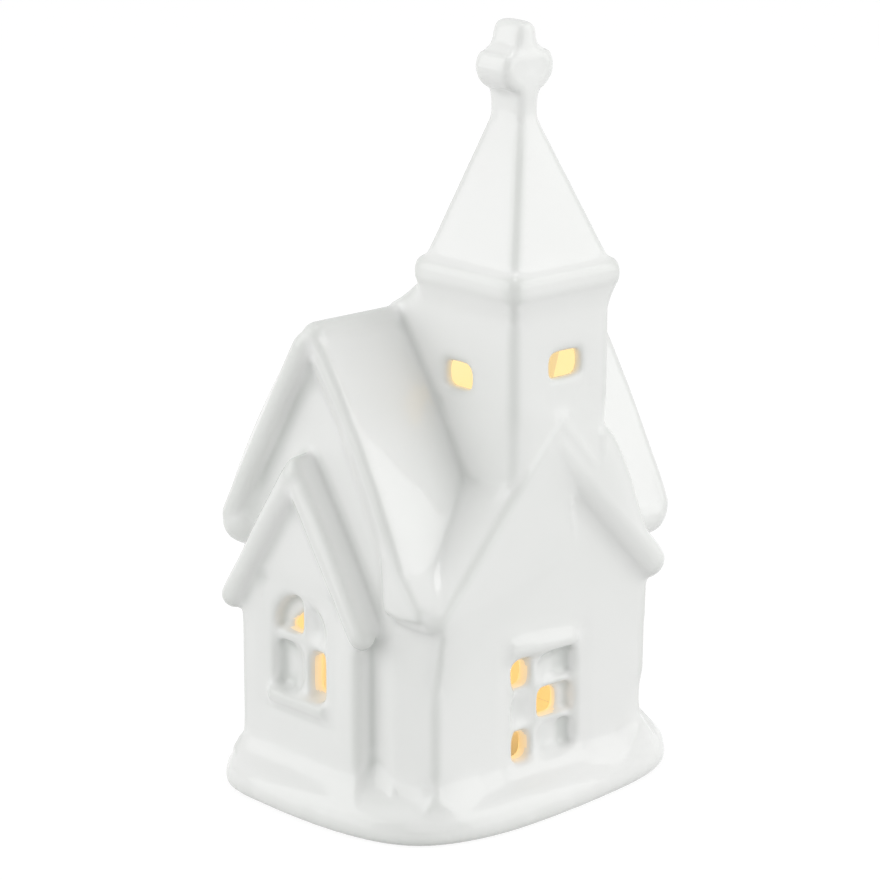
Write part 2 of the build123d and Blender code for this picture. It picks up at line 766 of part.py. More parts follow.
def slider_slot(low_z, high_z):
    half_x = slider_width / 2 + slider_clearance
    half_y = (slider_length + slider_travel) / 2 + slider_clearance
    return block(switch_x - half_x, switch_x + half_x, -half_y, half_y, low_z, high_z)


# Bottom plate with the battery well
def make_base_plate():
    below_z = plate_low_z - overcut
    rim_top_z = lug_top_z + lug_clearance + rim_cover
    body = post(0, 0, plate_radius, plate_low_z, plate_top_z)
    rim = post(cell_x, 0, rim_radius, plate_low_z, rim_top_z)
    body += rim & post(0, 0, plate_radius, plate_low_z, rim_top_z)
    body += post(cell_x, 0, well_outer, plate_top_z, well_top_z)
    body -= post(cell_x, 0, well_radius, below_z, well_top_z + overcut)
    body -= post(cell_x, 0, cap_radius + cap_clearance, below_z, cap_top_z + lug_clearance)
    path_outer = cap_radius + lug_reach + 2 * lug_clearance
    for start in lug_starts:
        body -= rim_sector(path_outer, lug_low_z - lug_clearance, lug_top_z + lug_clearance, start - lug_end_angle,
                           lug_angle + twist_angle + 2 * lug_end_angle)
        body -= rim_sector(path_outer, below_z, lug_top_z, start + twist_angle - lug_end_angle,
                           lug_angle + 2 * lug_end_angle)
    for x, y in screw_places:
        body -= post(x, y, screw_radius + screw_clearance, below_z, plate_top_z + overcut)
        body -= post(x, y, screw_head_radius + strip_clearance, below_z,
                     plate_low_z + screw_head_height + 2 * touch_gap)
    body -= slider_slot(below_z, plate_top_z + overcut)
    # Slits for the contact strips in the well wall
    slit = strip_half + strip_clearance
    wall_end = well_outer + overcut
    body -= block(cell_x - slit, cell_x + slit, cell_radius, wall_end, cell_low_z + strip_rise - strip_clearance,
                  well_top_z + overcut)
    body -= block(cell_x - slit, cell_x + slit, -wall_end, -cell_radius, cell_top_z - strip_clearance,
                  well_top_z + overcut)
    return body


# Two self-tapping screws
def make_screws():
    screws = []
    head_low_z = plate_low_z + touch_gap
    for x, y in screw_places:
        screw = post(x, y, screw_head_radius, head_low_z, head_low_z + screw_head_height)
        screw += post(x, y, screw_radius, head_low_z, head_low_z + screw_length)
        for turn in (0, 90):
            slot = Box(driver_slot_length, driver_slot_width, 2 * driver_slot_depth)
            screw -= Pos(x, y, head_low_z) * Rot(0, 0, turn) * slot
        screws.append(screw)
    return Compound(children=screws)


# Twist-lock battery cap with a coin slot
def make_cap():
    body = post(cell_x, 0, cap_radius, plate_low_z, cap_top_z)
    for start in lug_starts:
        body += rim_sector(cap_radius + lug_reach, lug_low_z, lug_top_z, start, lug_angle)
    return body - Pos(cell_x, 0, plate_low_z) * Box(coin_slot_length, coin_slot_width, 2 * coin_slot_depth)


def make_cell():
    can_top_z = cell_top_z - cell_step_height
    body = post(cell_x, 0, cell_radius, cell_low_z, can_top_z)
    body += post(cell_x, 0, cell_radius - cell_step_inset, cell_low_z, cell_top_z)
    return fillet(body.faces().sort_by(Axis.Z)[0].edges(), cell_round)


def strip_block(half, y0, y1, z0, z1):
    return block(cell_x - half, cell_x + half, y0, y1, z0, z1)


# Sprung strip on the side of the cell, its tab through the board
def make_positive_contact():
    shelf_z = strip_top_z - strip_thickness
    tab_end_y = plus_tab_y + strip_thickness
    strip = strip_block(strip_half, plus_y, plus_y + strip_thickness, cell_low_z + strip_rise, strip_top_z)
    strip += strip_block(strip_half, plus_y, tab_end_y, shelf_z, strip_top_z)
    return strip + strip_block(tab_half, plus_tab_y, tab_end_y, shelf_z, pin_top_z)


# Sprung strip over the top of the cell, its tab through the board
def make_negative_contact():
    low_z = cell_top_z + touch_gap
    end_y = minus_y + strip_thickness
    strip = strip_block(strip_half, minus_y, strip_half, low_z, low_z + strip_thickness)
    strip += strip_block(strip_half, minus_y, end_y, low_z, strip_top_z)
    return strip + strip_block(tab_half, minus_y, end_y, low_z, pin_top_z)


def make_board():
    low_z = board_low_z - overcut
    high_z = board_top_z + overcut
    body = post(0, 0, board_radius, board_low_z, board_top_z)
    for x, y in screw_places:
        body -= post(x, y, boss_radius + boss_clearance, low_z, high_z)
    for y in (plus_tab_y, minus_y):
        body -= strip_block(tab_half + tab_clearance, y - tab_clearance, y + strip_thickness + tab_clearance, low_z,
                            high_z)
    for x, y in pin_places:
        body -= post(x, y, pin_width, low_z, high_z)
    for x, y in lead_places:
        body -= post(x, y, lead_radius + tab_clearance, low_z, high_z)
    return body


# Round lamp with its rim and dome
def make_lamp():
    dome_z = lamp_low_z + lamp_length - lamp_radius
    body = post(0, 0, lamp_radius + lamp_rim, lamp_low_z, lamp_low_z + lamp_rim_height)
    body += post(0, 0, lamp_radius, lamp_low_z, dome_z)
    body += Pos(0, 0, dome_z) * Sphere(lamp_radius)
    for x, y in lead_places:
        body -= post(x, y, lead_radius + touch_gap, lamp_low_z - overcut, lead_top_z)
    return body


def make_leads():
    low_z = board_low_z - solder_length
    return Compound(children=[post(x, y, lead_radius, low_z, lead_top_z) for x, y in lead_places])


def make_resistor():
    body = Box(resistor_length, resistor_width, resistor_height)
    return Pos(resistor_x, resistor_y, board_top_z + resistor_height / 2) * body


# Pressed frame of the slide switch
def make_switch_frame():
    half_x = switch_width / 2
    half_y = switch_length / 2
    inner_x = half_x - switch_sheet
    inner_y = half_y - switch_sheet
    inner_top_z = switch_top_z - switch_cover
    body = block(switch_x - half_x, switch_x + half_x, -half_y, half_y, plate_top_z, switch_top_z)
    body -= block(switch_x - inner_x, switch_x + inner_x, -inner_y, inner_y, plate_top_z + switch_sheet, inner_top_z)
    body -= slider_slot(plate_top_z - overcut, inner_top_z)
    hole = pin_width / 2 + touch_gap
    for x, y in pin_places:
        body -= block(x - hole, x + hole, y - hole, y + hole, shoe_top_z, switch_top_z + overcut)
    return body


def make_slider():
    half_x = slider_width / 2
    half_y = slider_length / 2
    knob_low_z = plate_low_z + slider_recess
    shoe_x = half_x + shoe_over_x
    shoe_y = half_y + shoe_over_y
    body = block(switch_x - half_x, switch_x + half_x, slider_y - half_y, slider_y + half_y, knob_low_z, shoe_top_z)
    body += block(switch_x - shoe_x, switch_x + shoe_x, slider_y - shoe_y, slider_y + shoe_y, shoe_low_z, shoe_top_z)
    for step in (-1, 0, 1):
        groove = Box(2 * slider_width, grip_width, 2 * grip_depth)
        body -= Pos(switch_x, slider_y + step * grip_step, knob_low_z) * groove
    return body


# Moving contact on top of the slider
def make_wiper():
    half_x = wiper_width / 2
    half_y = wiper_length / 2
    return block(pin_x - half_x, pin_x + half_x, slider_y - half_y, slider_y + half_y, shoe_top_z, wiper_top_z)


def make_terminals():
    half = pin_width / 2
    low_z = wiper_top_z + touch_gap
    pins = [block(x - half, x + half, y - half, y + half, low_z, pin_top_z) for x, y in pin_places]
    return Compound(children=pins)


nodes = {
    "house_shell": make_shell,
    "retaining_ring": make_ring,
    "light_housing": make_housing,
    "housing_base": make_base_plate,
    "housing_screws": make_screws,
    "battery_cap": make_cap,
    "coin_cell": make_cell,
    "positive_contact": make_positive_contact,
    "negative_contact": make_negative_contact,
    "circuit_board": make_board,
    "led_lamp": make_lamp,
    "led_leads": make_leads,
    "resistor": make_resistor,
    "switch_frame": make_switch_frame,
    "switch_slider": make_slider,
    "switch_wiper": make_wiper,
    "switch_terminals": make_terminals,
}

for name, make in nodes.items():
    shape = make()
    box = shape.bounding_box()
    export_step(shape, f"parts/{name}.step")
    print(name, len(shape.solids()), "solids", [round(v, 2) for v in (*box.min, *box.max)])
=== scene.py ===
import json
import math

import bpy
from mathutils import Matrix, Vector

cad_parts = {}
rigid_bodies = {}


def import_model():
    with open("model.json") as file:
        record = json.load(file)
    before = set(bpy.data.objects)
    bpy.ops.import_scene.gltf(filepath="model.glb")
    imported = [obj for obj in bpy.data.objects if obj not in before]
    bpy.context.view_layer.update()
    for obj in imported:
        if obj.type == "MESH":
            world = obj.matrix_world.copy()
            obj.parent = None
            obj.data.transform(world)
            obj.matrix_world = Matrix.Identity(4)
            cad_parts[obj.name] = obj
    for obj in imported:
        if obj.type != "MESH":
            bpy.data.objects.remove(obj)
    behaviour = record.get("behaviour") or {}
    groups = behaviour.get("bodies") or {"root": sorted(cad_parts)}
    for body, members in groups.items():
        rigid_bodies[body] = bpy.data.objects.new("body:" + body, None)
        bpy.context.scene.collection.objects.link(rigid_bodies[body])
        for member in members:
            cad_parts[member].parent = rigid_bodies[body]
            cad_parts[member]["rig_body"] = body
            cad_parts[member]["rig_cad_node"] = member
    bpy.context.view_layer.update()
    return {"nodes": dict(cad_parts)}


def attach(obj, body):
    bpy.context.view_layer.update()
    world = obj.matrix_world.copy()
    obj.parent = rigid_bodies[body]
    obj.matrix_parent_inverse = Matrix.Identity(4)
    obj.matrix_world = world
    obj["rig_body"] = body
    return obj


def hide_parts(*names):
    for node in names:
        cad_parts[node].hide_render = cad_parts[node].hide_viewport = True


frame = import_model()
nodes = frame["nodes"]
MM = 0.001


# Picking and shaping

def pick(piece):
    bpy.ops.object.select_all(action="DESELECT")
    piece.select_set(True)
    bpy.context.view_layer.objects.active = piece


def apply_modifiers(piece):
    pick(piece)
    for name in [modifier.name for modifier in piece.modifiers]:
        bpy.ops.object.modifier_apply(modifier=name)


def merged_copy(node, name):
    # The cast node's loose triangles, copied and sewn together
    pick(nodes[node])
    bpy.ops.object.duplicate()
    piece = bpy.context.object
    piece.name = name
    piece.data.name = name
    piece.parent = None
    del piece["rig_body"]
    del piece["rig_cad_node"]
    bpy.ops.object.mode_set(mode="EDIT")
    bpy.ops.mesh.select_all(action="SELECT")
    bpy.ops.mesh.remove_doubles(threshold=0.002 * MM)
    bpy.ops.object.mode_set(mode="OBJECT")
    return piece


# Node helpers

def new_material(name):
    material = bpy.data.materials.new(name)
    material.use_nodes = True
    tree = material.node_tree
    shader = tree.nodes["Principled BSDF"]
    place = tree.nodes.new("ShaderNodeTexCoord")
    return material, tree, shader, place.outputs["Object"]


def new_group(name, inputs, outputs):
    group = bpy.data.node_groups.new(name, "ShaderNodeTree")
    for label, kind, value in inputs:
        socket = group.interface.new_socket(name=label, in_out="INPUT", socket_type=kind)
        if value is not None:
            socket.default_value = value
    for label, kind in outputs:
        group.interface.new_socket(name=label, in_out="OUTPUT", socket_type=kind)
    return group, group.nodes.new("NodeGroupInput"), group.nodes.new("NodeGroupOutput")


def put_group(tree, group, place, values):
    node = tree.nodes.new("ShaderNodeGroup")
    node.node_tree = group
    tree.links.new(place, node.inputs["Place"])
    for label, value in values.items():
        node.inputs[label].default_value = value
    return node


def add_noise(tree, place, scale, detail, roughness=0.5):
    noise = tree.nodes.new("ShaderNodeTexNoise")
    noise.inputs["Detail"].default_value = detail
    noise.inputs["Roughness"].default_value = roughness
    if isinstance(scale, float):
        noise.inputs["Scale"].default_value = scale
    else:
        tree.links.new(scale, noise.inputs["Scale"])
    tree.links.new(place, noise.inputs["Vector"])
    return noise.outputs["Fac"]


def spread(tree, value, low, high, new_low, new_high):
    node = tree.nodes.new("ShaderNodeMapRange")
    for label, number in (("From Min", low), ("From Max", high), ("To Min", new_low), ("To Max", new_high)):
        if isinstance(number, float):
            node.inputs[label].default_value = number
        else:
            tree.links.new(number, node.inputs[label])
    tree.links.new(value, node.inputs["Value"])
    return node.outputs["Result"]


def combine(tree, operation, first, second):
    node = tree.nodes.new("ShaderNodeMath")
    node.operation = operation
    for socket, value in zip(node.inputs, (first, second)):
        if isinstance(value, float):
            socket.default_value = value
        else:
            tree.links.new(value, socket)
    return node.outputs[0]


def blend_colours(tree, factor, first, second):
    node = tree.nodes.new("ShaderNodeMix")
    node.data_type = "RGBA"
    tree.links.new(factor, node.inputs["Factor"])
    for socket, value in ((node.inputs["A"], first), (node.inputs["B"], second)):
        if isinstance(value, tuple):
            socket.default_value = (*value, 1.0)
        else:
            tree.links.new(value, socket)
    return node.outputs["Result"]


def add_bump(tree, height, shader, strength, distance):
    bump = tree.nodes.new("ShaderNodeBump")
    bump.inputs["Strength"].default_value = strength
    bump.inputs["Distance"].default_value = distance
    tree.links.new(height, bump.inputs["Height"])
    tree.links.new(bump.outputs["Normal"], shader.inputs["Normal"])


# Shared effects

def make_moulded_grain():
    group, source, target = new_group(
        "moulded_grain",
        [("Place", "NodeSocketVector", None),
         ("Scale", "NodeSocketFloat", 900.0), ("Rough", "NodeSocketFloat", 0.45),
         ("Dark", "NodeSocketColor", (0.5, 0.5, 0.5, 1)), ("Light", "NodeSocketColor", (0.6, 0.6, 0.6, 1))],
        [("Colour", "NodeSocketColor"), ("Roughness", "NodeSocketFloat"), ("Height", "NodeSocketFloat")])
    place = source.outputs["Place"]
    fine = add_noise(group, place, source.outputs["Scale"], 3.0)
    broad = add_noise(group, place, 70.0, 2.0)
    mixed = blend_colours(group, broad, source.outputs["Dark"], source.outputs["Light"])
    group.links.new(mixed, target.inputs["Colour"])
    rough = combine(group, "MULTIPLY", source.outputs["Rough"], spread(group, broad, 0.3, 0.7, 0.85, 1.2))
    group.links.new(rough, target.inputs["Roughness"])
    group.links.new(fine, target.inputs["Height"])
    return group


def make_brushed_lines():
    group, source, target = new_group(
        "brushed_lines",
        [("Place", "NodeSocketVector", None), ("Rough", "NodeSocketFloat", 0.3),
         ("Dark", "NodeSocketColor", (0.5, 0.5, 0.5, 1)), ("Light", "NodeSocketColor", (0.7, 0.7, 0.7, 1))],
        [("Colour", "NodeSocketColor"), ("Roughness", "NodeSocketFloat"), ("Height", "NodeSocketFloat")])
    stretch = group.nodes.new("ShaderNodeMapping")
    stretch.inputs["Scale"].default_value = (160.0, 4200.0, 900.0)
    group.links.new(source.outputs["Place"], stretch.inputs["Vector"])
    lines = add_noise(group, stretch.outputs["Vector"], 1.0, 3.0)
    tarnish = add_noise(group, source.outputs["Place"], 260.0, 4.0)
    mixed = blend_colours(group, tarnish, source.outputs["Dark"], source.outputs["Light"])
    group.links.new(mixed, target.inputs["Colour"])
    rough = combine(group, "MULTIPLY", source.outputs["Rough"], spread(group, lines, 0.3, 0.7, 0.75, 1.3))
    group.links.new(rough, target.inputs["Roughness"])
    group.links.new(lines, target.inputs["Height"])
    return group


moulded_grain = make_moulded_grain()
brushed_lines = make_brushed_lines()


def make_plastic(name, dark, light, rough, grain=900.0, bump=0.12):
    material, tree, shader, place = new_material(name)
    values = {"Scale": grain, "Rough": rough, "Dark": (*dark, 1), "Light": (*light, 1)}
    node = put_group(tree, moulded_grain, place, values)
    tree.links.new(node.outputs["Colour"], shader.inputs["Base Color"])
    tree.links.new(node.outputs["Roughness"], shader.inputs["Roughness"])
    add_bump(tree, node.outputs["Height"], shader, bump, 0.05 * MM)
    return material


def make_metal(name, dark, light, rough):
    material, tree, shader, place = new_material(name)
    values = {"Rough": rough, "Dark": (*dark, 1), "Light": (*light, 1)}
    node = put_group(tree, brushed_lines, place, values)
    tree.links.new(node.outputs["Colour"], shader.inputs["Base Color"])
    tree.links.new(node.outputs["Roughness"], shader.inputs["Roughness"])
    shader.inputs["Metallic"].default_value = 1.0
    add_bump(tree, node.outputs["Height"], shader, 0.1, 0.02 * MM)
    return material


# White glaze over the casting: painted shade in corners, partly pooled glaze, and a painted dark reflection
# on edges, partly thinned glaze
def make_glaze():
    material, tree, shader, place = new_material("white_glaze")
    drift = add_noise(tree, place, 16.0, 3.0)
    cloud = add_noise(tree, place, 60.0, 4.0)
    shift = spread(tree, drift, 0.35, 0.65, 0.0, 1.0)
    tone = blend_colours(tree, shift, (0.855, 0.86, 0.85), (0.885, 0.885, 0.88))
    # Painted shade in hollows, partly glaze that has pooled there
    hollow = tree.nodes.new("ShaderNodeAttribute")
    hollow.attribute_name = "glaze_pool_and_shade"
    glaze_pool_and_shade = spread(tree, hollow.outputs["Fac"], 0.0, 1.0, 0.0, 0.45)
    tone = blend_colours(tree, glaze_pool_and_shade, tone, (0.52, 0.55, 0.52))
    # Painted dark reflection on edges, partly glaze that has thinned there
    edge = tree.nodes.new("ShaderNodeAttribute")
    edge.attribute_name = "thin_glaze_and_dark_reflection"
    thin_glaze_and_dark_reflection = spread(tree, edge.outputs["Fac"], 0.0, 1.0, 0.0, 0.4)
    tone = blend_colours(tree, thin_glaze_and_dark_reflection, tone, (0.64, 0.66, 0.63))
    tree.links.new(tone, shader.inputs["Base Color"])
    rough = spread(tree, cloud, 0.35, 0.65, 0.06, 0.1)
    tree.links.new(rough, shader.inputs["Roughness"])
    shader.inputs["IOR"].default_value = 1.52
    wave = add_noise(tree, place, 45.0, 2.0)
    add_bump(tree, wave, shader, 0.1, 0.4 * MM)
    return material


# Bare clay under the foot
def make_bare_clay():
    material, tree, shader, place = new_material("bare_clay")
    speck = add_noise(tree, place, 900.0, 5.0, 0.7)
    drift = add_noise(tree, place, 40.0, 3.0)
    tone = blend_colours(tree, drift, (0.74, 0.70, 0.64), (0.82, 0.79, 0.74))
    dots = spread(tree, speck, 0.66, 0.74, 0.0, 0.5)
    tone = blend_colours(tree, dots, tone, (0.5, 0.45, 0.38))
    tree.links.new(tone, shader.inputs["Base Color"])
    tree.links.new(spread(tree, drift, 0.3, 0.7, 0.75, 0.9), shader.inputs["Roughness"])
    add_bump(tree, speck, shader, 0.3, 0.1 * MM)
    return material


# Unglazed inside of the casting with the lamp's light painted on as a glow: deep amber below, paler towards
# the roof
def make_painted_glow_inside():
    material, tree, shader, place = new_material("painted_glow_inside")
    speck = add_noise(tree, place, 700.0, 4.0)
    drift = add_noise(tree, place, 30.0, 3.0)
    tone = blend_colours(tree, drift, (0.76, 0.72, 0.64), (0.82, 0.78, 0.70))
    tree.links.new(tone, shader.inputs["Base Color"])
    shader.inputs["Roughness"].default_value = 0.8
    split = tree.nodes.new("ShaderNodeSeparateXYZ")
    tree.links.new(place, split.inputs["Vector"])
    height = spread(tree, split.outputs["Z"], 10 * MM, 100 * MM, 0.0, 1.0)
    shift = spread(tree, drift, 0.3, 0.7, 0.0, 1.0)
    low_glow = blend_colours(tree, shift, (0.68, 0.40, 0.13), (0.68, 0.47, 0.19))
    glow = blend_colours(tree, height, low_glow, (1.0, 0.79, 0.42))
    tree.links.new(glow, shader.inputs["Emission Color"])
    shader.inputs["Emission Strength"].default_value = 0.35
    add_bump(tree, speck, shader, 0.2, 0.1 * MM)
    return material


glaze = make_glaze()
bare_clay = make_bare_clay()
painted_glow_inside = make_painted_glow_inside()


# The cast house, softened all over by its glaze

SKIN_VOXEL = 0.65 * MM
SKIN_TRIANGLES = 185000
COAT = 0.8 * MM
CLAY_TOP = 1.75 * MM
# Rounds of smoothing
FIRST_FLOW = 8
TRIAL_FLOW = 16
BROAD_FLOW = 60
WORN_FLOW = 120
COAT_FLOW = 10
POOL_FLOW = 60
# Places of the house's materials, in the order in which they are put on
GLAZED, PAINTED_GLOW, BARE = range(3)
# Past the outside of the house on every side, in millimetres
FAR = 60


def between_walls(p):
    # Room for the light: nave, front gable, porch, tower shaft with the spire
    x, y, z = p.x / MM, p.y / MM, p.z / MM
    floor_top = 4.9
    rim_top = 5.3
    rim_radius = 21.6
    facade_inner = -27.9
    tower_y = -18.75
    gable_top = 92.0
    if z < floor_top or math.hypot(x, y) < rim_radius and z < rim_top:
        return False
    off_nave = abs(y - 5.1)
    off_front = abs(x - 0.7)
    off_porch = abs(y - 6.9)
    nave = -33.8 < x < 36.4 and off_nave < 22.6 and z < 99.6 - 1.67 * off_nave
    front = -31.0 < x < 27.6 and facade_inner < y < 6.0 and z < 83.7 - 1.12 * off_front
    porch = -38.6 < x < -30.0 and off_porch < 17.2 and z < 73.9 - 1.53 * off_porch
    half = 11.9 - max(0.0, z - 121.2) * 0.394
    shaft = abs(x - 1.0) < half and tower_y - half < y < half + tower_y and 60.0 < z < 143.5
    if z < gable_top:
        shaft = shaft and y > facade_inner
    return nave or front or porch or shaft


def faces_inward(piece, face):
    # Panes that are only pressed in look out at the open air, and stay glazed
    start = face.center + face.normal * 0.05 * MM
    past_house = 0.5
    return piece.ray_cast(start, face.normal, distance=past_house)[0]


def soften(piece, iterations, group=""):
    smooth = piece.modifiers.new("glaze_flow", "SMOOTH")
    smooth.factor = 0.5
    smooth.iterations = iterations
    smooth.vertex_group = group
    apply_modifiers(piece)


def find_lifts(piece, iterations):
    # How far more smoothing would raise each point: up in hollows, down on edges
    pick(piece)
    bpy.ops.object.duplicate()
    smoothed = bpy.context.object
    soften(smoothed, iterations)
    pairs = zip(piece.data.vertices, smoothed.data.vertices)
    lifts = [(moved.co - point.co).dot(point.normal) for point, moved in pairs]
    bpy.data.objects.remove(smoothed)
    return lifts


def fade(value, start, end):
    # 0 up to the start, rising evenly to 1 at the end
    return min(1.0, max(0.0, (value - start) / (end - start)))


def mark_glaze(piece):
    # Painted shade in upright hollows, partly pooled glaze, and a painted dark reflection on edges, partly
    # thinned glaze, less so on the slender finial
    glaze_pool_and_shade = piece.data.attributes.new("glaze_pool_and_shade", "FLOAT", "POINT")
    thin_glaze_and_dark_reflection = piece.data.attributes.new("thin_glaze_and_dark_reflection", "FLOAT", "POINT")
    for index, lift in enumerate(find_lifts(piece, POOL_FLOW)):
        point = piece.data.vertices[index]
        upright = 1.0 - 0.8 * max(0.0, point.normal.z)
        large = 1.0 - 0.8 * fade(point.co.z / MM, 148, 158)
        glaze_pool_and_shade.data[index].value = upright * fade(lift / MM, 0.12, 0.42)
        thin_glaze_and_dark_reflection.data[index].value = large * fade(-lift / MM, 0.12, 0.5)


def inside(p, low, high, edge):
    # 1 within a box in millimetres, falling to 0 over an even edge around it
    share = 1.0
    for value, least, most in zip(p, low, high):
        share *= fade(value / MM, least - edge, least) * fade(-value / MM, -most - edge, -most)
    return share


def window_share(p):
    # The facade's oblong window, both arched windows and the tower openings
    door = inside(p, (-13, -FAR, 11), (11, -24, 40), 3)
    porch = inside(p, (-FAR, -6, 21), (-33, 18, 51), 3)
    right_gable = inside(p, (33, -6, 21), (FAR, 18, 51), 3)
    tower_left = inside(p, (-FAR, -24, 93), (-9, -10, 100), 5)
    tower_front = inside(p, (-4, -FAR, 96.5), (8.5, -28, 103.5), 5)
    return max(door, porch, right_gable, tower_left, tower_front)


def flow_share(p, lift):
    # Edges and the foot of the walls flow freely, hollows less, windows and the finial little
    foot_top = 5 * MM
    wall_foot = 18 * MM
    finial_low = 160 * MM
    finial_high = 171 * MM
    if p.z < foot_top:
        return 0.0
    if finial_low < p.z < finial_high:
        return 0.4
    free = 1.0 if lift < 0.03 * MM or p.z < wall_foot else 0.5
    return free - (free - 0.3) * window_share(p)


def coat_share(p, lift):
    # The coat of glaze builds up most on the edges that the smoothing wears down
    finial_tip = 170 * MM
    full_wear = 0.16 * MM
    if p.z > finial_tip:
        return 0.0
    build_up = 0.4 + 0.6 * min(1.0, max(0.0, -lift / full_wear))
    return build_up * (1.0 - window_share(p)) * fade(p.z / MM, 4.0, 8.0)


def filled_panes(p):
    # Pressed panes that the glaze has filled, wholly or on one side
    door_left = inside(p, (-9.5, -FAR, 21.2), (-4.6, -27, 27.0), 1.5)
    door_top = inside(p, (-1.6, -FAR, 29.8), (3.0, -27, 35.6), 1.5)
    door_low = inside(p, (-1.6, -FAR, 12.5), (4.5, -27, 18.5), 1.5)
    porch_top = inside(p, (-FAR, -1.5, 40.0), (-37.5, 3.8, 48.0), 1.5)
    porch_low = inside(p, (-FAR, 6.7, 27.0), (-37.5, 10.0, 37.0), 1.5)
    return max(door_left, door_top, door_low, porch_top, porch_low)


def worn_share(p):
    # Where thick glaze hides the shape
    front_verges = inside(p, (-FAR, -FAR, 50), (FAR, -27, 89), 5)
    verge_fill = inside(p, (-FAR, -FAR, 36), (-14, -29.5, 89), 6)
    lintel = 0.9 * inside(p, (-15, -FAR, 36.5), (13, -31, 45), 1.5)
    valley_end = inside(p, (-FAR, -FAR, 48), (-34, -22, 66), 6)
    back_tip = 0.3 * inside(p, (-FAR, 26, 55), (-34, FAR, 68), 6)
    right_bank = inside(p, (25, -FAR, 8), (FAR, -25, 22), 3)
    left_corner = inside(p, (-FAR, -FAR, 8), (-24, -14, 12), 3)
    corner_foot = inside(p, (-39, -33, 5.5), (-24, -14, 13), 2)
    roofs = max(front_verges, verge_fill, lintel, valley_end, back_tip)
    return max(roofs, right_bank, left_corner, corner_foot, filled_panes(p))


def weigh(piece, name, shares):
    # A vertex group from one share per point, in steps of a hundredth
    group = piece.vertex_groups.new(name=name)
    steps = {}
    for index, share in enumerate(shares):
        steps.setdefault(round(share, 2), []).append(index)
    for share, indices in steps.items():
        group.add(indices, share, "REPLACE")


def make_bar(start, end, radius):
    # A round-ended bar between two points, in millimetres
    start = Vector(start) * MM
    end = Vector(end) * MM
    bpy.ops.object.select_all(action="DESELECT")
    bpy.ops.mesh.primitive_uv_sphere_add(segments=32, ring_count=16, radius=radius * MM)
    bar = bpy.context.object
    bpy.ops.object.mode_set(mode="EDIT")
    bpy.ops.mesh.select_all(action="DESELECT")
    bpy.ops.object.mode_set(mode="OBJECT")
    for point in bar.data.vertices:
        point.select = point.co.z > 0.01 * radius * MM
    bpy.ops.object.mode_set(mode="EDIT")
    bpy.ops.transform.translate(value=(0, 0, (end - start).length))
    bpy.ops.object.mode_set(mode="OBJECT")
    bar.location = start
    bar.rotation_euler = (end - start).to_track_quat("Z", "Y").to_euler()
    bpy.ops.object.transform_apply(location=True, rotation=True, scale=True)
    return bar


def make_fill(low_inner, low_outer, top_inner, top_outer):
    # Glaze that brings the facade level with the left verge, from its inner to its outer edge
    bpy.ops.object.select_all(action="DESELECT")
    bpy.ops.mesh.primitive_cube_add(size=2.0)
    fill = bpy.context.object
    for point in fill.data.vertices:
        outer = point.co.z > 0
        low = low_outer if outer else low_inner
        top = top_outer if outer else top_inner
        x, z = top if point.co.x > 0 else low
        front = -34.0 if outer else -30.4
        back = -29.0
        y = back if point.co.y > 0 else front
        point.co = Vector((x, y, z)) * MM
    return fill


def make_rolls():
    # Rounded ridges, verges and eaves, where the slip has filled the mould's edges
    ridge = make_bar((-37.0, 5.1, 108.9), (40.8, 5.1, 108.6), 2.6)
    back_eave = make_bar((-36.0, 31.6, 60.4), (38.6, 31.7, 61.2), 5.0)
    back_verge = make_bar((-38.8, 6.4, 106.6), (-38.8, 32.4, 62.6), 2.5)
    right_eave = make_bar((34.0, -21.4, 58.9), (39.6, -21.4, 58.9), 4.8)
    right_verge = make_bar((41.6, 4.6, 108.2), (41.9, -23.4, 61.0), 2.5)
    porch_back = make_bar((-41.3, 6.9, 77.4), (-41.6, 28.7, 44.7), 2.9)
    porch_front = make_bar((-40.9, 6.9, 77.4), (-40.9, -14.6, 44.9), 2.8)
    valley_end = make_bar((-33.6, -30.6, 51.2), (-35.6, -23.0, 52.4), 3.4)
    front_right = make_bar((0.7, -30.2, 84.6), (31.6, -30.6, 51.5), 4.2)
    front_left = make_fill((-33.6, 33.0), (-34.0, 51.0), (9.0, 58.0), (1.5, 88.0))
    roofs = [ridge, back_eave, back_verge, right_eave, right_verge]
    return roofs + [porch_back, porch_front, valley_end, front_right, front_left]


def make_house():
    house = merged_copy("house_shell", "glazed_house")
    rolls = make_rolls()
    pick(house)
    for roll in rolls:
        roll.select_set(True)
    bpy.ops.object.join()
    remesh = house.modifiers.new("skin", "REMESH")
    remesh.mode = "VOXEL"
    remesh.voxel_size = SKIN_VOXEL
    apply_modifiers(house)
    soften(house, FIRST_FLOW)
    lifts = find_lifts(house, TRIAL_FLOW)
    places = [point.co.copy() for point in house.data.vertices]
    weigh(house, "broad", [flow_share(place, lift) for place, lift in zip(places, lifts)])
    weigh(house, "coat", [coat_share(place, lift) for place, lift in zip(places, lifts)])
    weigh(house, "worn", [worn_share(place) for place in places])
    soften(house, BROAD_FLOW, "broad")
    soften(house, WORN_FLOW, "worn")
    swell = house.modifiers.new("glaze_coat", "DISPLACE")
    swell.mid_level = 0.0
    swell.strength = COAT
    swell.vertex_group = "coat"
    apply_modifiers(house)
    soften(house, COAT_FLOW, "coat")
    mark_glaze(house)
    thin = house.modifiers.new("thin_out", "DECIMATE")
    thin.ratio = min(1.0, SKIN_TRIANGLES / (2 * len(house.data.polygons)))
    apply_modifiers(house)
    bpy.ops.object.shade_smooth()
    house.data.materials.clear()
    for material in (glaze, painted_glow_inside, bare_clay):
        house.data.materials.append(material)
    for face in house.data.polygons:
        # Faces between the walls get the lamp's light painted on as a glow
        if between_walls(face.center) and faces_inward(house, face):
            face.material_index = PAINTED_GLOW
        elif face.center.z < CLAY_TOP and face.normal.z < -0.9:
            face.material_index = BARE
        else:
            face.material_index = GLAZED
    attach(house, "house")
    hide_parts("house_shell")


make_house()

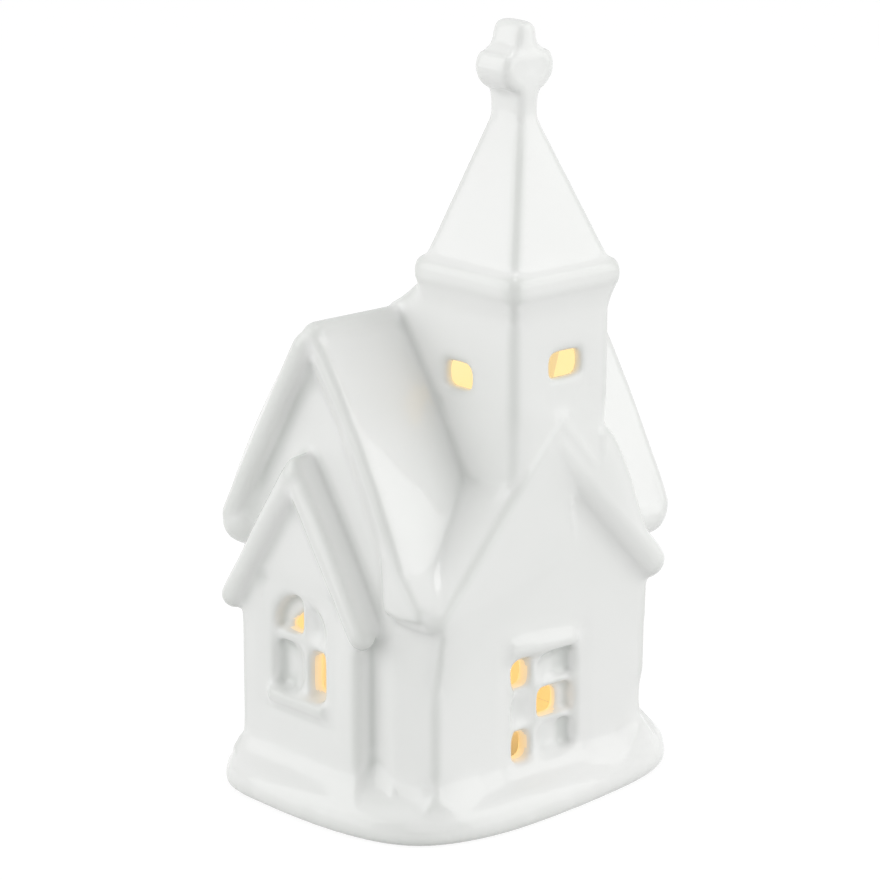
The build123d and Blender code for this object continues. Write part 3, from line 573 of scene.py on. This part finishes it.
# The lamp unit
housing_plastic = make_plastic("housing_plastic", (0.76, 0.75, 0.72), (0.82, 0.81, 0.78), 0.42)
cap_plastic = make_plastic("cap_plastic", (0.70, 0.69, 0.66), (0.78, 0.77, 0.74), 0.38)
slider_plastic = make_plastic("slider_plastic", (0.02, 0.02, 0.02), (0.05, 0.05, 0.05), 0.5)
ring_rubber = make_plastic("ring_rubber", (0.62, 0.61, 0.58), (0.70, 0.69, 0.66), 0.7, 600.0, 0.2)
board_green = make_plastic("board_green", (0.05, 0.2, 0.08), (0.09, 0.28, 0.12), 0.35)
resistor_black = make_plastic("resistor_black", (0.03, 0.03, 0.03), (0.06, 0.06, 0.06), 0.5)
steel = make_metal("steel", (0.55, 0.54, 0.52), (0.68, 0.67, 0.65), 0.3)
cell_steel = make_metal("cell_steel", (0.66, 0.66, 0.65), (0.78, 0.78, 0.77), 0.24)
spring_metal = make_metal("spring_metal", (0.62, 0.55, 0.42), (0.76, 0.70, 0.56), 0.22)
tinned = make_metal("tinned", (0.62, 0.62, 0.61), (0.74, 0.74, 0.73), 0.28)


# Clear resin of the small round lamp, glowing
def make_lamp_resin():
    material, tree, shader, place = new_material("lamp_resin")
    drift = add_noise(tree, place, 500.0, 2.0)
    tone = blend_colours(tree, drift, (1.0, 0.80, 0.42), (1.0, 0.86, 0.55))
    tree.links.new(tone, shader.inputs["Base Color"])
    shader.inputs["Roughness"].default_value = 0.12
    glow = blend_colours(tree, drift, (1.0, 0.58, 0.16), (1.0, 0.68, 0.26))
    tree.links.new(glow, shader.inputs["Emission Color"])
    shader.inputs["Emission Strength"].default_value = 3.0
    return material


finishes = {
    "retaining_ring": ring_rubber,
    "light_housing": housing_plastic,
    "housing_base": housing_plastic,
    "housing_screws": steel,
    "battery_cap": cap_plastic,
    "coin_cell": cell_steel,
    "positive_contact": spring_metal,
    "negative_contact": spring_metal,
    "circuit_board": board_green,
    "led_lamp": make_lamp_resin(),
    "led_leads": tinned,
    "resistor": resistor_black,
    "switch_frame": steel,
    "switch_slider": slider_plastic,
    "switch_wiper": spring_metal,
    "switch_terminals": tinned,
}
for node, finish in finishes.items():
    nodes[node].data.materials.clear()
    nodes[node].data.materials.append(finish)


FLAT_ANGLE = math.radians(0.5)
SHARP_ANGLE = math.radians(40)
ROUND_ANGLE = math.radians(35)


def break_edges(node, name, body, width):
    # The same piece with its sharp edges broken, as moulded and stamped pieces have them
    piece = merged_copy(node, name)
    bpy.ops.object.mode_set(mode="EDIT")
    bpy.ops.mesh.select_all(action="SELECT")
    bpy.ops.mesh.dissolve_limited(angle_limit=FLAT_ANGLE)
    bpy.ops.object.mode_set(mode="OBJECT")
    if piece.data.has_custom_normals:
        bpy.ops.mesh.customdata_custom_splitnormals_clear()
    bevel = piece.modifiers.new("broken_edges", "BEVEL")
    bevel.width = width * MM
    bevel.segments = 2
    bevel.limit_method = "ANGLE"
    bevel.angle_limit = SHARP_ANGLE
    apply_modifiers(piece)
    bpy.ops.object.shade_smooth_by_angle(angle=ROUND_ANGLE)
    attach(piece, body)
    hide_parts(node)


break_edges("retaining_ring", "soft_ring", "light_unit", 0.2)
break_edges("light_housing", "upper_housing", "light_unit", 0.15)
break_edges("housing_base", "bottom_plate", "light_unit", 0.15)
break_edges("housing_screws", "plate_screws", "light_unit", 0.08)
break_edges("battery_cap", "twist_cap", "cap", 0.15)
break_edges("coin_cell", "button_cell", "light_unit", 0.15)
break_edges("switch_frame", "switch_body", "light_unit", 0.06)
break_edges("switch_slider", "switch_knob", "slider", 0.08)


# Studio: white floor and sky, soft boxes to the left, to the right and above, the lamp inside

def make_floor():
    # White paper where it is looked at, a little of it plain grey so that the shadow stays
    bpy.ops.object.select_all(action="DESELECT")
    bpy.ops.mesh.primitive_plane_add(size=6.0, location=(0, 0, 0))
    floor = bpy.context.object
    floor.name = "floor"
    material, tree, shader = new_material("floor_paper")[:3]
    shader.inputs["Base Color"].default_value = (0.6, 0.6, 0.6, 1)
    shader.inputs["Roughness"].default_value = 0.9
    shader.inputs["Specular IOR Level"].default_value = 0.1
    path = tree.nodes.new("ShaderNodeLightPath")
    white = tree.nodes.new("ShaderNodeEmission")
    white.inputs["Strength"].default_value = 1.25
    mix = tree.nodes.new("ShaderNodeMixShader")
    seen = combine(tree, "MAXIMUM", path.outputs["Is Camera Ray"], path.outputs["Is Transmission Ray"])
    seen = combine(tree, "MAXIMUM", seen, path.outputs["Is Glossy Ray"])
    white_share = 0.7
    seen = combine(tree, "MULTIPLY", seen, white_share)
    tree.links.new(seen, mix.inputs["Fac"])
    tree.links.new(shader.outputs["BSDF"], mix.inputs[1])
    tree.links.new(white.outputs["Emission"], mix.inputs[2])
    tree.links.new(mix.outputs["Shader"], tree.nodes["Material Output"].inputs["Surface"])
    floor.data.materials.append(material)


def make_sky():
    # Dim overhead, below, in front and behind, brighter at the sides; white where it is looked at
    world = bpy.data.worlds.new("studio")
    bpy.context.scene.world = world
    world.use_nodes = True
    tree = world.node_tree
    sky = tree.nodes["Background"]
    sky.inputs["Color"].default_value = (0.99, 1.0, 0.985, 1)
    place = tree.nodes.new("ShaderNodeTexCoord")
    split = tree.nodes.new("ShaderNodeSeparateXYZ")
    tree.links.new(place.outputs["Generated"], split.inputs["Vector"])
    towards = tree.nodes.new("ShaderNodeVectorMath")
    towards.operation = "DOT_PRODUCT"
    front_side = (-0.65, -0.71, 0.27)
    towards.inputs[1].default_value = front_side
    tree.links.new(place.outputs["Generated"], towards.inputs[0])
    facing = spread(tree, towards.outputs["Value"], 0.2, 0.9, 1.0, 0.85)
    overhead = spread(tree, split.outputs["Z"], 0.0, 1.0, 1.0, 0.26)
    behind = spread(tree, towards.outputs["Value"], -0.9, -0.1, 0.7, 1.0)
    below = spread(tree, split.outputs["Z"], -0.5, 0.0, 0.45, 1.0)
    shade = combine(tree, "MULTIPLY", facing, overhead)
    shade = combine(tree, "MULTIPLY", shade, behind)
    shade = combine(tree, "MULTIPLY", shade, below)
    brightness = 1.41
    tree.links.new(combine(tree, "MULTIPLY", shade, brightness), sky.inputs["Strength"])
    white = tree.nodes.new("ShaderNodeBackground")
    white.inputs["Color"].default_value = (1, 1, 1, 1)
    path = tree.nodes.new("ShaderNodeLightPath")
    seen = combine(tree, "MAXIMUM", path.outputs["Is Camera Ray"], path.outputs["Is Transmission Ray"])
    dark_front = spread(tree, towards.outputs["Value"], 0.3, 0.95, 0.8, 0.24)
    tree.links.new(combine(tree, "MAXIMUM", seen, dark_front), white.inputs["Strength"])
    seen = combine(tree, "MAXIMUM", seen, path.outputs["Is Glossy Ray"])
    mix = tree.nodes.new("ShaderNodeMixShader")
    tree.links.new(seen, mix.inputs["Fac"])
    tree.links.new(sky.outputs["Background"], mix.inputs[1])
    tree.links.new(white.outputs["Background"], mix.inputs[2])
    tree.links.new(mix.outputs["Shader"], tree.nodes["World Output"].inputs["Surface"])


def make_softbox(name, place, aim, width, height, power):
    light = bpy.data.lights.new(name, "AREA")
    light.shape = "RECTANGLE"
    light.size = width
    light.size_y = height
    light.energy = power
    lamp = bpy.data.objects.new(name, light)
    bpy.context.scene.collection.objects.link(lamp)
    lamp.location = place
    lamp.rotation_euler = (Vector(aim) - Vector(place)).to_track_quat("-Z", "Y").to_euler()


def make_lamp_light():
    # The lamp's own light, which moves with the lamp unit
    light = bpy.data.lights.new("lamp_glow", "POINT")
    light.color = (1.0, 0.66, 0.28)
    light.energy = 0.008
    light.shadow_soft_size = 2.5 * MM
    lamp = bpy.data.objects.new("lamp_glow", light)
    bpy.context.scene.collection.objects.link(lamp)
    lamp.location = (0, 0, 24 * MM)
    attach(lamp, "light_unit")


def make_camera():
    # The photograph's view
    data = bpy.data.cameras.new("photo_view")
    data.sensor_width = 36.0
    data.lens = 153.6
    camera = bpy.data.objects.new("photo_view", data)
    bpy.context.scene.collection.objects.link(camera)
    eye = Vector((-550.3, -602.5, 306.2)) * MM
    aim = Vector((-11.52, -7.41, 82.75)) * MM
    camera.location = eye
    camera.rotation_euler = (aim - eye).to_track_quat("-Z", "Y").to_euler()
    data.clip_start = 0.01
    bpy.context.scene.camera = camera


make_floor()
make_sky()
house_middle = (0, 0, 0.08)
make_softbox("left_box", (-0.85, 0.47, 0.42), house_middle, 0.9, 1.0, 3.1)
make_softbox("right_box", (0.50, -0.83, 0.42), house_middle, 0.9, 1.0, 3.2)
make_softbox("top_box", (0.04, -0.08, 0.85), house_middle, 0.28, 0.28, 0.6)
make_lamp_light()
make_camera()
bpy.context.scene.view_settings.view_transform = "Standard"
